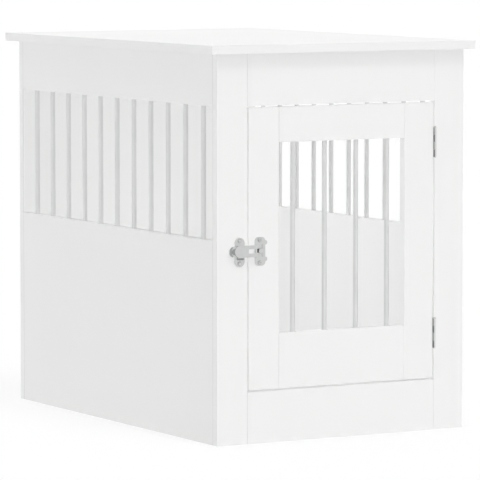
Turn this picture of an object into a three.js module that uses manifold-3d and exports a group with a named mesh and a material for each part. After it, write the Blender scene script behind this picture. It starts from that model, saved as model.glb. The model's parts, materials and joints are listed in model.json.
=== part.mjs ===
// Dog crate end table: a cabinet of white 15 mm boards with a barred door at the front, a barred window
// band in each side, a solid back, a floor panel and an overhanging top.
// Units are millimetres, +Z is up and the front faces -Y. The origin is on the ground, under the middle of
// the top.

import * as THREE from 'three';
import { mergeVertices } from 'three/addons/utils/BufferGeometryUtils.js';
import Module from 'manifold-3d';

// ---- Cabinet ----------------------------------------------------------------------------------------
const OVERALL_HEIGHT = 690;
const BODY_WIDTH = 502;
const BODY_DEPTH = 752.5;
const BOARD = 15; // thickness of every board below the top
const TOP_THICKNESS = 15;
const TOP_OVERHANG_SIDE = 16.5;
const TOP_OVERHANG_FRONT = 12.5;
const TOP_OVERHANG_REAR = 25;
const JOINT = 0.2; // hairline at every joint between two boards, or a fitting and a board
const POST_WIDTH = 60;
const APRON_HEIGHT = 90; // front apron and side upper rails
const SILL_HEIGHT = 90;
const SIDE_PANEL_HEIGHT = 354;

// ---- Floor ------------------------------------------------------------------------------------------
const FLOOR_DROP = 5; // from the top of the sill down to the floor panel's upper face
const CLEAT_SIZE = 20; // square batten under each side edge of the floor
const CLEAT_SETBACK = 20; // from a cleat's ends to the boards in front of and behind it

// ---- Bars -------------------------------------------------------------------------------------------
const BAR_DIAMETER = 8.5;
const BAR_SEAT = 12; // length of bar inside each blind hole
const SEAT_CLEARANCE = 0.3; // round a bar or a screw, and at the bottom of a bar's hole
const SIDE_BAR_COUNT = 11;
const SIDE_BAR_MARGIN = 44.5; // from the end of a side board to the middle of the nearest bar
const DOOR_BAR_COUNT = 4;

// ---- Door -------------------------------------------------------------------------------------------
const DOOR_GAP = 3; // between the door and the frame, all round
const STILE_WIDTH = 60;
const DOOR_TOP_RAIL = 61;
const DOOR_BOTTOM_RAIL = 97;

// ---- Butt hinges ------------------------------------------------------------------------------------
const HINGE_LENGTH = 53;
const HINGE_TOP_INSET = 70; // from the door's top edge to the middle of the upper hinge
const HINGE_BOTTOM_INSET = 80; // from the door's bottom edge to the middle of the lower hinge
const HINGE_LEAF_PLAY = 0.4; // between the two leaves, which fill the rest of the door's gap
const HINGE_LEAF_WIDTH = 13; // from the cabinet's front face to the leaf's inner edge
const HINGE_BARREL_RADIUS = 2.75;
const HINGE_PIN_RADIUS = 1.2;
const HINGE_PIN_HEAD_RADIUS = 2;
const HINGE_PIN_HEAD_HEIGHT = 1;
const HINGE_KNUCKLES = 4;
const HINGE_SCREW_INSET = 11.5; // from a leaf's end to the middle of its screw hole
const HINGE_SCREW_HOLE_RADIUS = 1.8;
const RUNNING_CLEARANCE = 0.3; // between pieces that turn past each other

// ---- Flip latch -------------------------------------------------------------------------------------
const LATCH_HEIGHT = 334; // middle of the latch above the ground
const PLATE_WIDTH = 21;
const PLATE_LENGTH = 52;
const PLATE_THICKNESS = 2.5;
const PLATE_CORNER_RADIUS = 7; // corners of the door plate
const POST_PLATE_INSET = 6.5; // from the post's inner edge to the post plate
const DOOR_PLATE_INSET = 10; // from the door's edge to the door plate
const DOOR_PLATE_LOBE_RADIUS = 4.5; // two small ears on the door plate's inner edge
const DOOR_PLATE_LOBE_SPACING = 25.5;
const DOOR_PLATE_BOSS_RADIUS = 4.4; // round boss that stands in the open tongue's fork
const DOOR_PLATE_BOSS_HEIGHT = 2;
const DOOR_PLATE_BOSS_OFFSET = 8.5; // from the tongue's pin to the boss
const LATCH_BARREL_RADIUS = 2.3;
const LATCH_AXIS_OUT = 3.6; // from the cabinet's front face to the tongue's pin
const LATCH_PIN_RADIUS = 1;
const LATCH_PIN_HEAD_RADIUS = 1.8;
const LATCH_PIN_HEAD_HEIGHT = 0.8;
const TONGUE_WIDTH = 17;
const TONGUE_THICKNESS = 2;
const TONGUE_RISE = 2.5; // from the plates' faces to the back of the tongue
const TONGUE_ARM = 3.4; // width of each arm of the fork that reaches the pin
const TONGUE_SLOT = 14.5; // from the pin to the closed end of the fork's slot
const TONGUE_NOSE_START = 2; // from the post plate's outer edge to the nose's first bend
const TONGUE_BEND_RADIUS = 3; // of the middle of the strap, in both bends
const TONGUE_DIP_ANGLE = 40; // degrees that the nose slopes down towards the post
const TONGUE_DIP_RUN = 2;
const TONGUE_LIP_ANGLE = 35; // degrees that the finger lip then turns outward
const TONGUE_LIP_RUN = 3;
const TONGUE_OPEN_ANGLE = 150; // degrees from shut to resting beside the boss
const TONGUE_CHEEK_THICKNESS = 1.2; // short walls under the tongue that straddle the catch block
const TONGUE_CHEEK_DEPTH = 1.8;
const TONGUE_CHEEK_LENGTH = 16;
const CATCH_LENGTH = 12; // of the catch block, along the tongue
const CATCH_CORNER_RADIUS = 1.8;

// ---- Latch screws -----------------------------------------------------------------------------------
const SCREW_INSET = 6.5; // from a plate's end to the middle of its screw
const SCREW_HEAD_RADIUS = 3.3;
const SCREW_HEAD_HEIGHT = 1.8;
const SCREW_SHANK_RADIUS = 1.5;
const SCREW_LENGTH = 13; // under the head

// ---- Facets -----------------------------------------------------------------------------------------
const BAR_SIDES = 16;
const FITTING_SIDES = 16;
const ARC_STEPS = 6; // per arc of an extruded outline
const OVERCUT = 1; // by which a cutting tool stands out of the face that it enters

// ---- Places that follow from the sizes --------------------------------------------------------------
const bodyHeight = OVERALL_HEIGHT - TOP_THICKNESS - JOINT;
const topWidth = BODY_WIDTH + 2 * TOP_OVERHANG_SIDE;
const topDepth = BODY_DEPTH + TOP_OVERHANG_FRONT + TOP_OVERHANG_REAR;
const frontY = TOP_OVERHANG_FRONT - topDepth / 2;
const backY = frontY + BODY_DEPTH;
const innerFrontY = frontY + BOARD + JOINT;
const innerBackY = backY - BOARD - JOINT;
const sideLength = innerBackY - innerFrontY;
const sideX = BODY_WIDTH / 2 - BOARD / 2;
const innerX = BODY_WIDTH / 2 - BOARD - JOINT;
const railBottom = bodyHeight - APRON_HEIGHT;
const doorwayX = BODY_WIDTH / 2 - POST_WIDTH;

const doorX = doorwayX - DOOR_GAP;
const doorBottom = SILL_HEIGHT + DOOR_GAP;
const doorTop = railBottom - DOOR_GAP;
const doorHeight = doorTop - doorBottom;
const doorMiddleY = frontY + BOARD / 2;
const windowX = doorX - STILE_WIDTH;
const windowBottom = doorBottom + DOOR_BOTTOM_RAIL;
const windowTop = doorTop - DOOR_TOP_RAIL;

const floorTop = SILL_HEIGHT - FLOOR_DROP;
const floorBottom = floorTop - BOARD;

const hingeLeafThickness = DOOR_GAP / 2 - JOINT - HINGE_LEAF_PLAY / 2;
const hingeScrewZ = HINGE_LENGTH / 2 - HINGE_SCREW_INSET;
// The barrel clears the corners of the two boards that it stands between.
const hingeX = doorwayX - DOOR_GAP / 2;
const hingeOut = Math.sqrt((HINGE_BARREL_RADIUS + RUNNING_CLEARANCE) ** 2 - (DOOR_GAP / 2) ** 2);
const hingeY = frontY - hingeOut;

const plateY = frontY - JOINT - PLATE_THICKNESS / 2;
const postPlateX = -doorwayX - POST_PLATE_INSET - PLATE_WIDTH / 2;
const doorPlateX = -doorX + DOOR_PLATE_INSET + PLATE_WIDTH / 2;
const latchPinX = doorPlateX - PLATE_WIDTH / 2 + LATCH_BARREL_RADIUS;
const latchPinY = frontY - LATCH_AXIS_OUT;
const plateFaceY = frontY - JOINT - PLATE_THICKNESS;
const tongueBackY = plateFaceY - TONGUE_RISE;
const overPlateY = plateFaceY - JOINT;
const latchScrewZ = PLATE_LENGTH / 2 - SCREW_INSET;
const catchHeight = TONGUE_RISE - JOINT - RUNNING_CLEARANCE;
// Half the length of the plate's own knuckle, which stands between the two eyes of the tongue's fork.
const knuckleHalf = TONGUE_WIDTH / 2 - TONGUE_ARM - RUNNING_CLEARANCE;

// ---- Finishes ---------------------------------------------------------------------------------------
const finish = (color, roughness, metalness) => () => (
  new THREE.MeshStandardMaterial({ color, roughness, metalness })
);
const whiteBoard = finish(0xf2f2f1, 0.55, 0);
const barMetal = finish(0xd2d4d3, 0.35, 0.6);
const fittingMetal = finish(0xc8cdcb, 0.3, 0.9);

// ---- Solid modelling helpers ------------------------------------------------------------------------
const wasm = await Module();
wasm.setup();

function toSolid(geometry) {
  const plain = geometry.clone();
  plain.deleteAttribute('normal');
  plain.deleteAttribute('uv');
  const merged = mergeVertices(plain);
  return new wasm.Manifold(new wasm.Mesh({
    numProp: 3,
    vertProperties: new Float32Array(merged.attributes.position.array),
    triVerts: new Uint32Array(merged.index.array),
  }));
}

function toGeometry(solid) {
  const mesh = solid.getMesh();
  const geometry = new THREE.BufferGeometry();
  geometry.setAttribute('position', new THREE.BufferAttribute(new Float32Array(mesh.vertProperties), 3));
  geometry.setIndex(new THREE.BufferAttribute(new Uint32Array(mesh.triVerts), 1));
  geometry.computeVertexNormals();
  return geometry;
}

// Joins the first list of geometries and cuts the second list out of them.
function shape(joined, cuts = []) {
  let solid = toSolid(joined[0]);
  for (const piece of joined.slice(1)) {
    solid = solid.add(toSolid(piece));
  }
  for (const tool of cuts) {
    solid = solid.subtract(toSolid(tool));
  }
  return toGeometry(solid);
}

function overlapOf(first, second) {
  return toGeometry(toSolid(first).intersect(toSolid(second)));
}

// A box given by its lowest and highest corners.
function span(x0, x1, y0, y1, z0, z1) {
  const geometry = new THREE.BoxGeometry(x1 - x0, y1 - y0, z1 - z0);
  return geometry.translate((x0 + x1) / 2, (y0 + y1) / 2, (z0 + z1) / 2);
}

function rod(axis, radius, length, sides = FITTING_SIDES) {
  const geometry = new THREE.CylinderGeometry(radius, radius, length, sides);
  if (axis === 'z') {
    geometry.rotateX(Math.PI / 2);
  }
  if (axis === 'x') {
    geometry.rotateZ(Math.PI / 2);
  }
  return geometry;
}

// A flat plate of the given outline: the outline's x and y become X and Z, and the plate is centred on Y = 0.
function plate(outline, thickness) {
  const geometry = new THREE.ExtrudeGeometry(outline, {
    depth: thickness, bevelEnabled: false, curveSegments: ARC_STEPS,
  });
  return geometry.rotateX(Math.PI / 2).translate(0, thickness / 2, 0);
}

// A profile in X and Y that runs straight along Z, centred on Z = 0.
function prism(profile, length) {
  const geometry = new THREE.ExtrudeGeometry(profile, {
    depth: length, bevelEnabled: false, curveSegments: ARC_STEPS,
  });
  return geometry.translate(0, 0, -length / 2);
}

function roundedRectangle(width, height, radius) {
  const x = width / 2 - radius;
  const y = height / 2 - radius;
  const outline = new THREE.Shape();
  outline.absarc(x, y, radius, 0, Math.PI / 2);
  outline.absarc(-x, y, radius, Math.PI / 2, Math.PI);
  outline.absarc(-x, -y, radius, Math.PI, 1.5 * Math.PI);
  outline.absarc(x, -y, radius, 1.5 * Math.PI, 2 * Math.PI);
  outline.closePath();
  return outline;
}

function place(parent, name, geometry, material, x = 0, y = 0, z = 0) {
  const mesh = new THREE.Mesh(geometry, material());
  mesh.name = name;
  mesh.position.set(x, y, z);
  parent.add(mesh);
  return mesh;
}

// ---- Boards -----------------------------------------------------------------------------------------
// A board with a row of blind holes for bars in its upper edge (side 1) or its lower edge (side -1).
function boardWithSeats(width, depth, height, seats, side) {
  const holeDepth = BAR_SEAT + SEAT_CLEARANCE;
  const tools = seats.map(([x, y]) => {
    const hole = rod('z', BAR_DIAMETER / 2 + SEAT_CLEARANCE, holeDepth + OVERCUT, BAR_SIDES);
    return hole.translate(x, y, side * (height / 2 + (OVERCUT - holeDepth) / 2));
  });
  return shape([new THREE.BoxGeometry(width, depth, height)], tools);
}

// A board with two blind holes in its front face for the screws of a latch plate.
function boardWithScrewHoles(width, height, holeX, holeZ) {
  const holeDepth = SCREW_LENGTH - PLATE_THICKNESS;
  const tools = [-1, 1].map((side) => {
    const hole = rod('y', SCREW_SHANK_RADIUS + SEAT_CLEARANCE, holeDepth + OVERCUT);
    const y = -BOARD / 2 + (holeDepth - OVERCUT) / 2;
    return hole.translate(holeX, y, holeZ + side * latchScrewZ);
  });
  return shape([new THREE.BoxGeometry(width, BOARD, height)], tools);
}

function barPositions(count, margin, length) {
  const pitch = (length - 2 * margin) / (count - 1);
  return Array.from({ length: count }, (_, i) => margin + i * pitch - length / 2);
}

function bar(bottom, top) {
  return rod('z', BAR_DIAMETER / 2, top - bottom + 2 * BAR_SEAT, BAR_SIDES);
}

function label(word, index) {
  return `${word}_${String(index + 1).padStart(2, '0')}`;
}

function buildCarcass(group) {
  place(group, 'top_panel', new THREE.BoxGeometry(topWidth, topDepth, TOP_THICKNESS), whiteBoard,
    0, 0, OVERALL_HEIGHT - TOP_THICKNESS / 2);
  place(group, 'back_panel', new THREE.BoxGeometry(BODY_WIDTH, BOARD, bodyHeight), whiteBoard,
    0, backY - BOARD / 2, bodyHeight / 2);

  const postX = doorwayX + POST_WIDTH / 2;
  const latchZ = LATCH_HEIGHT - bodyHeight / 2;
  place(group, 'front_post_left', boardWithScrewHoles(POST_WIDTH, bodyHeight, postPlateX + postX, latchZ),
    whiteBoard, -postX, doorMiddleY, bodyHeight / 2);
  place(group, 'front_post_right', new THREE.BoxGeometry(POST_WIDTH, BOARD, bodyHeight), whiteBoard,
    postX, doorMiddleY, bodyHeight / 2);

  const betweenPosts = 2 * (doorwayX - JOINT);
  place(group, 'front_apron', new THREE.BoxGeometry(betweenPosts, BOARD, APRON_HEIGHT), whiteBoard,
    0, doorMiddleY, railBottom + APRON_HEIGHT / 2);
  place(group, 'front_sill', new THREE.BoxGeometry(betweenPosts, BOARD, SILL_HEIGHT), whiteBoard,
    0, doorMiddleY, SILL_HEIGHT / 2);
}

function buildSide(group, word, sign) {
  const barY = barPositions(SIDE_BAR_COUNT, SIDE_BAR_MARGIN, sideLength);
  const middleY = (innerFrontY + innerBackY) / 2;
  const seats = barY.map((y) => [0, y]);
  const panel = boardWithSeats(BOARD, sideLength, SIDE_PANEL_HEIGHT, seats, 1);
  const rail = boardWithSeats(BOARD, sideLength, APRON_HEIGHT, seats, -1);
  place(group, `side_panel_${word}`, panel, whiteBoard, sign * sideX, middleY, SIDE_PANEL_HEIGHT / 2);
  place(group, `side_rail_${word}`, rail, whiteBoard, sign * sideX, middleY, railBottom + APRON_HEIGHT / 2);
  barY.forEach((y, i) => {
    place(group, label(`side_bar_${word}`, i), bar(SIDE_PANEL_HEIGHT, railBottom), barMetal,
      sign * sideX, middleY + y, (SIDE_PANEL_HEIGHT + railBottom) / 2);
  });
  const cleatLength = sideLength - 2 * CLEAT_SETBACK;
  const cleat = new THREE.BoxGeometry(CLEAT_SIZE, cleatLength, CLEAT_SIZE);
  place(group, `floor_cleat_${word}`, cleat, whiteBoard,
    sign * (innerX - CLEAT_SIZE / 2), middleY, floorBottom - JOINT - CLEAT_SIZE / 2);
}

function buildFloor(group) {
  const middleY = (innerFrontY + innerBackY) / 2;
  place(group, 'floor_panel', new THREE.BoxGeometry(2 * innerX, sideLength, BOARD), whiteBoard,
    0, middleY, floorTop - BOARD / 2);
  const supportHeight = floorBottom - JOINT;
  place(group, 'floor_support_rail', new THREE.BoxGeometry(BOARD, sideLength, supportHeight), whiteBoard,
    0, middleY, supportHeight / 2);
}

// ---- Hinges -----------------------------------------------------------------------------------------
// A leaf in the hinge's own place: the pin is on the Z axis. Side 1 lies on the post, side -1 on the door.
// It holds every second knuckle, counted from the top, from the first (start 0) or the second (start 1).
function hingeLeaf(side, start) {
  const outerX = side * (DOOR_GAP / 2 - JOINT);
  const innerLeafX = outerX - side * hingeLeafThickness;
  const [x0, x1] = [Math.min(outerX, innerLeafX), Math.max(outerX, innerLeafX)];
  const leafStart = HINGE_BARREL_RADIUS + RUNNING_CLEARANCE;
  const leafEnd = hingeOut + HINGE_LEAF_WIDTH;
  const pitch = HINGE_LENGTH / HINGE_KNUCKLES;
  const knuckleLength = pitch - RUNNING_CLEARANCE;
  const solids = [span(x0, x1, leafStart, leafEnd, -HINGE_LENGTH / 2, HINGE_LENGTH / 2)];
  for (let i = start; i < HINGE_KNUCKLES; i += 2) {
    const z = HINGE_LENGTH / 2 - (i + 0.5) * pitch;
    const [z0, z1] = [z - knuckleLength / 2, z + knuckleLength / 2];
    solids.push(span(x0, x1, 0, leafStart + hingeLeafThickness, z0, z1));
    solids.push(rod('z', HINGE_BARREL_RADIUS, knuckleLength).translate(0, 0, z));
  }
  const cuts = [rod('z', HINGE_PIN_RADIUS + RUNNING_CLEARANCE, HINGE_LENGTH + 2 * OVERCUT)];
  for (const z of [-hingeScrewZ, hingeScrewZ]) {
    const hole = rod('x', HINGE_SCREW_HOLE_RADIUS, hingeLeafThickness + 2 * OVERCUT, BAR_SIDES);
    cuts.push(hole.translate((x0 + x1) / 2, (leafStart + leafEnd) / 2, z));
  }
  return shape(solids, cuts);
}

// A pin with a flat head at each end, turned about the Z axis and centred on it.
function headedPin(radius, length, headRadius, headHeight) {
  const shoulder = length / 2;
  const end = shoulder + headHeight;
  const profile = [
    [0, -end], [headRadius, -end], [headRadius, -shoulder], [radius, -shoulder],
    [radius, shoulder], [headRadius, shoulder], [headRadius, end], [0, end],
  ];
  const points = profile.map(([r, y]) => new THREE.Vector2(r, y));
  return new THREE.LatheGeometry(points, FITTING_SIDES).rotateX(Math.PI / 2);
}

function buildHinge(fixedGroup, doorGroup, word, z) {
  place(fixedGroup, `hinge_${word}_frame_leaf`, hingeLeaf(1, 0), fittingMetal, hingeX, hingeY, z);
  place(doorGroup, `hinge_${word}_door_leaf`, hingeLeaf(-1, 1), fittingMetal, 0, 0, z);
  const pin = headedPin(HINGE_PIN_RADIUS, HINGE_LENGTH + RUNNING_CLEARANCE, HINGE_PIN_HEAD_RADIUS,
    HINGE_PIN_HEAD_HEIGHT);
  place(fixedGroup, `hinge_${word}_pin`, pin, fittingMetal, hingeX, hingeY, z);
}

// ---- Door -------------------------------------------------------------------------------------------
// The door's group stands on the hinge axis, so places in it are counted from there.
function buildDoor(group) {
  const y = doorMiddleY - hingeY;
  const middleZ = (doorBottom + doorTop) / 2;
  const stileX = doorX - STILE_WIDTH / 2;
  const latchZ = LATCH_HEIGHT - middleZ;
  place(group, 'door_stile_left', boardWithScrewHoles(STILE_WIDTH, doorHeight, doorPlateX + stileX, latchZ),
    whiteBoard, -stileX - hingeX, y, middleZ);
  place(group, 'door_stile_right', new THREE.BoxGeometry(STILE_WIDTH, BOARD, doorHeight), whiteBoard,
    stileX - hingeX, y, middleZ);

  const railWidth = 2 * (windowX - JOINT);
  const halfPitch = windowX / DOOR_BAR_COUNT;
  const barX = barPositions(DOOR_BAR_COUNT, halfPitch, 2 * windowX);
  const seats = barX.map((x) => [x, 0]);
  place(group, 'door_rail_top', boardWithSeats(railWidth, BOARD, DOOR_TOP_RAIL, seats, -1), whiteBoard,
    -hingeX, y, windowTop + DOOR_TOP_RAIL / 2);
  place(group, 'door_rail_bottom', boardWithSeats(railWidth, BOARD, DOOR_BOTTOM_RAIL, seats, 1), whiteBoard,
    -hingeX, y, windowBottom - DOOR_BOTTOM_RAIL / 2);
  barX.forEach((x, i) => {
    place(group, label('door_bar', i), bar(windowBottom, windowTop), barMetal,
      x - hingeX, y, (windowBottom + windowTop) / 2);
  });
}

// ---- Latch ------------------------------------------------------------------------------------------
function screwHole(x, side) {
  const hole = rod('y', SCREW_SHANK_RADIUS + RUNNING_CLEARANCE, PLATE_THICKNESS + 2 * OVERCUT);
  return hole.translate(x, 0, side * latchScrewZ);
}

function postPlate() {
  const outline = roundedRectangle(PLATE_WIDTH, PLATE_LENGTH, PLATE_WIDTH / 2);
  return shape([plate(outline, PLATE_THICKNESS)], [screwHole(0, -1), screwHole(0, 1)]);
}

function catchBlock() {
  const width = TONGUE_WIDTH - 2 * (TONGUE_CHEEK_THICKNESS + RUNNING_CLEARANCE);
  return plate(roundedRectangle(CATCH_LENGTH, width, CATCH_CORNER_RADIUS), catchHeight);
}

// How far from the pin the outer face of the open tongue dips below the plate's face.
function openTongueReach() {
  const rest = THREE.MathUtils.degToRad(180 - TONGUE_OPEN_ANGLE);
  const outerFace = latchPinY - tongueBackY + TONGUE_THICKNESS;
  const plateFace = plateFaceY - latchPinY;
  return (outerFace - plateFace * Math.cos(rest)) / Math.sin(rest);
}

function doorPlate() {
  const pinX = latchPinX - doorPlateX;
  const pinY = latchPinY - plateY;
  const solids = [plate(roundedRectangle(PLATE_WIDTH, PLATE_LENGTH, PLATE_CORNER_RADIUS), PLATE_THICKNESS)];
  for (const side of [-1, 1]) {
    const lobe = rod('y', DOOR_PLATE_LOBE_RADIUS, PLATE_THICKNESS);
    solids.push(lobe.translate(PLATE_WIDTH / 2, 0, side * DOOR_PLATE_LOBE_SPACING / 2));
  }
  const boss = rod('y', DOOR_PLATE_BOSS_RADIUS, PLATE_THICKNESS + DOOR_PLATE_BOSS_HEIGHT);
  solids.push(boss.translate(pinX + DOOR_PLATE_BOSS_OFFSET, -DOOR_PLATE_BOSS_HEIGHT / 2, 0));
  const notchOuter = TONGUE_WIDTH / 2 + LATCH_PIN_HEAD_HEIGHT + 2 * RUNNING_CLEARANCE;
  const notchStart = -PLATE_WIDTH / 2 - OVERCUT;
  const notchEnd = pinX + openTongueReach() + RUNNING_CLEARANCE;
  const notches = [[-notchOuter, -knuckleHalf], [knuckleHalf, notchOuter]].map(([z0, z1]) => (
    span(notchStart, notchEnd, -PLATE_THICKNESS, PLATE_THICKNESS, z0, z1)
  ));
  const base = shape(solids, [...notches, screwHole(0, -1), screwHole(0, 1)]);
  const knuckle = rod('z', LATCH_BARREL_RADIUS, 2 * knuckleHalf).translate(pinX, pinY, 0);
  const pinHole = rod('z', LATCH_PIN_RADIUS + RUNNING_CLEARANCE, PLATE_LENGTH).translate(pinX, pinY, 0);
  return shape([base, knuckle], [pinHole]);
}

// The outline of a bent strap. Its middle starts at the given point and heads to -X; each bend turns it by
// the given degrees, towards +Y if positive, and then it runs straight.
function bentStrap(start, firstRun, bends, thickness) {
  const half = thickness / 2;
  const sides = { inner: [], outer: [] };
  let [x, y] = start;
  let heading = 0;
  const mark = () => {
    const [sin, cos] = [Math.sin(heading), Math.cos(heading)];
    sides.inner.push(new THREE.Vector2(x + half * sin, y + half * cos));
    sides.outer.push(new THREE.Vector2(x - half * sin, y - half * cos));
  };
  const advance = (length, turn = 0) => {
    heading += turn / 2;
    x -= length * Math.cos(heading);
    y += length * Math.sin(heading);
    heading += turn / 2;
    mark();
  };
  mark();
  advance(firstRun);
  for (const { degrees, radius, run } of bends) {
    const turn = THREE.MathUtils.degToRad(degrees) / ARC_STEPS;
    for (let i = 0; i < ARC_STEPS; i += 1) {
      advance(2 * radius * Math.sin(Math.abs(turn) / 2), turn);
    }
    advance(run);
  }
  return new THREE.Shape([...sides.inner, ...sides.outer.reverse()]);
}

// The tongue in its own place: the pin is on the Z axis, the nose points to -X and outward is -Y.
function tongue() {
  const back = tongueBackY - latchPinY;
  const middle = back - TONGUE_THICKNESS / 2;
  const flat = latchPinX - postPlateX + PLATE_WIDTH / 2 + TONGUE_NOSE_START;
  const profile = bentStrap([0, middle], flat, [
    { degrees: TONGUE_DIP_ANGLE, radius: TONGUE_BEND_RADIUS, run: TONGUE_DIP_RUN },
    { degrees: -TONGUE_DIP_ANGLE - TONGUE_LIP_ANGLE, radius: TONGUE_BEND_RADIUS, run: TONGUE_LIP_RUN },
  ], TONGUE_THICKNESS);
  const noseEnd = Math.min(...profile.getPoints().map((point) => point.x));

  const half = TONGUE_WIDTH / 2;
  const slotHalf = half - TONGUE_ARM;
  const outline = new THREE.Shape();
  outline.moveTo(0, half);
  outline.absarc(noseEnd + half, 0, half, Math.PI / 2, 1.5 * Math.PI, false);
  outline.lineTo(0, -half);
  outline.lineTo(0, -slotHalf);
  outline.lineTo(-TONGUE_SLOT, -slotHalf);
  outline.lineTo(-TONGUE_SLOT, slotHalf);
  outline.lineTo(0, slotHalf);
  outline.closePath();

  const strap = overlapOf(prism(profile, TONGUE_WIDTH), plate(outline, 2 * flat));
  const solids = [strap];
  const cheekX = postPlateX - latchPinX;
  for (const side of [-1, 1]) {
    const eye = rod('z', LATCH_BARREL_RADIUS, TONGUE_ARM);
    solids.push(eye.translate(0, 0, side * (half - TONGUE_ARM / 2)));
    const cheekTall = TONGUE_CHEEK_DEPTH + TONGUE_THICKNESS / 2;
    const cheek = new THREE.BoxGeometry(TONGUE_CHEEK_LENGTH, cheekTall, TONGUE_CHEEK_THICKNESS);
    const cheekY = back + TONGUE_CHEEK_DEPTH - cheekTall / 2;
    solids.push(cheek.translate(cheekX, cheekY, side * (half - TONGUE_CHEEK_THICKNESS / 2)));
  }
  return shape(solids, [rod('z', LATCH_PIN_RADIUS + RUNNING_CLEARANCE, PLATE_LENGTH)]);
}

// A pan-head screw with its axis on Y, its head at -Y and the underside of the head at Y = 0.
function panScrew() {
  const rim = SCREW_HEAD_HEIGHT / 2;
  const profile = [
    [0, -SCREW_LENGTH], [SCREW_SHANK_RADIUS, -SCREW_LENGTH + SCREW_SHANK_RADIUS], [SCREW_SHANK_RADIUS, 0],
    [SCREW_HEAD_RADIUS, 0], [SCREW_HEAD_RADIUS, rim], [SCREW_HEAD_RADIUS - rim, SCREW_HEAD_HEIGHT],
    [0, SCREW_HEAD_HEIGHT],
  ];
  const points = profile.map(([r, y]) => new THREE.Vector2(r, y));
  return new THREE.LatheGeometry(points, FITTING_SIDES).rotateX(Math.PI);
}

function placeScrews(group, word, x, y = 0) {
  for (const [end, side] of [['upper', 1], ['lower', -1]]) {
    const z = LATCH_HEIGHT + side * latchScrewZ;
    place(group, `latch_screw_${word}_${end}`, panScrew(), fittingMetal, x, overPlateY + y, z);
  }
}

function buildLatch(fixedGroup, doorGroup) {
  place(fixedGroup, 'latch_post_plate', postPlate(), fittingMetal, postPlateX, plateY, LATCH_HEIGHT);
  place(fixedGroup, 'latch_catch_block', catchBlock(), fittingMetal,
    postPlateX, overPlateY - catchHeight / 2, LATCH_HEIGHT);
  placeScrews(fixedGroup, 'post', postPlateX);

  place(doorGroup, 'latch_door_plate', doorPlate(), fittingMetal,
    doorPlateX - hingeX, plateY - hingeY, LATCH_HEIGHT);
  placeScrews(doorGroup, 'door', doorPlateX - hingeX, -hingeY);

  const tongueGroup = new THREE.Group();
  tongueGroup.position.set(latchPinX - hingeX, latchPinY - hingeY, LATCH_HEIGHT);
  place(tongueGroup, 'latch_tongue', tongue(), fittingMetal);
  const pin = headedPin(LATCH_PIN_RADIUS, TONGUE_WIDTH + 2 * RUNNING_CLEARANCE, LATCH_PIN_HEAD_RADIUS,
    LATCH_PIN_HEAD_HEIGHT);
  place(tongueGroup, 'latch_pin', pin, fittingMetal);
  doorGroup.add(tongueGroup);
}

// ---- The whole table --------------------------------------------------------------------------------
const group = new THREE.Group();
const cabinet = new THREE.Group();
const door = new THREE.Group();
door.position.set(hingeX, hingeY, 0);
group.add(cabinet, door);

buildCarcass(cabinet);
buildSide(cabinet, 'left', -1);
buildSide(cabinet, 'right', 1);
buildFloor(cabinet);
buildDoor(door);
buildHinge(cabinet, door, 'upper', doorTop - HINGE_TOP_INSET);
buildHinge(cabinet, door, 'lower', doorBottom + HINGE_BOTTOM_INSET);
buildLatch(cabinet, door);

export default group;
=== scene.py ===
"""Looks of the dog crate end table: white laminated boards with banded edges, round metal bars, two rolled butt
hinges and a flip latch, in a plain white studio. Sizes in millimetres are turned into metres by MM."""

import json
import math

import bmesh
import bpy
from mathutils import Euler, Matrix, Vector


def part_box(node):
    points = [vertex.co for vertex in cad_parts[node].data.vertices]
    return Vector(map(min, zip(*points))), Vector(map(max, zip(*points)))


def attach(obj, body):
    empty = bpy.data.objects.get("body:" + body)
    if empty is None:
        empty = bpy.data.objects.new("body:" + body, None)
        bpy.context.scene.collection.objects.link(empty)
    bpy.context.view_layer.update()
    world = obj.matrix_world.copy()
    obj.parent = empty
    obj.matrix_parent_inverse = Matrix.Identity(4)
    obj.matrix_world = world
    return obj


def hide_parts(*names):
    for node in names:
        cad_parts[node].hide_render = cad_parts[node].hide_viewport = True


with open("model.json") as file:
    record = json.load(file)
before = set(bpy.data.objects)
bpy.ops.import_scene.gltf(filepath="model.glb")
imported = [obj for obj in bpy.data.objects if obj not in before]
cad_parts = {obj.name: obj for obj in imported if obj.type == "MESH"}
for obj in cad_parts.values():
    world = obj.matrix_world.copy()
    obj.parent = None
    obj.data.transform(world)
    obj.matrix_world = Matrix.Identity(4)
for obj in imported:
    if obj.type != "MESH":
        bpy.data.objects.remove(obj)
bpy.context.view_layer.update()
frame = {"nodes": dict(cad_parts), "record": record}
MM = 0.001
ALONG = {"x": 0, "y": 1, "z": 2}


# ---- Modelling helpers ----------------------------------------------------------------------------------------
def deselect_everything():
    if bpy.context.object and bpy.context.object.mode != "OBJECT":
        bpy.ops.object.mode_set(mode="OBJECT")
    bpy.ops.object.select_all(action="DESELECT")


def take(piece):
    """Makes the piece the only selected one, and the active one."""
    deselect_everything()
    piece.select_set(True)
    bpy.context.view_layer.objects.active = piece


def settle(name):
    """Names the object that was just added and applies its place, turn and size to its mesh."""
    piece = bpy.context.object
    piece.name = piece.data.name = name
    bpy.ops.object.transform_apply(location=True, rotation=True, scale=True)
    return piece


def start_block(name, low, high):
    deselect_everything()
    low, high = Vector(low), Vector(high)
    bpy.ops.mesh.primitive_cube_add(size=1, location=(low + high) / 2, scale=high - low)
    return settle(name)


def start_rod(name, start, end, radius, sides=32):
    deselect_everything()
    start, end = Vector(start), Vector(end)
    run = end - start
    turn = Vector((0, 0, 1)).rotation_difference(run).to_euler()
    bpy.ops.mesh.primitive_cylinder_add(
        vertices=sides, radius=radius, depth=run.length, location=(start + end) / 2, rotation=turn
    )
    return settle(name)


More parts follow.
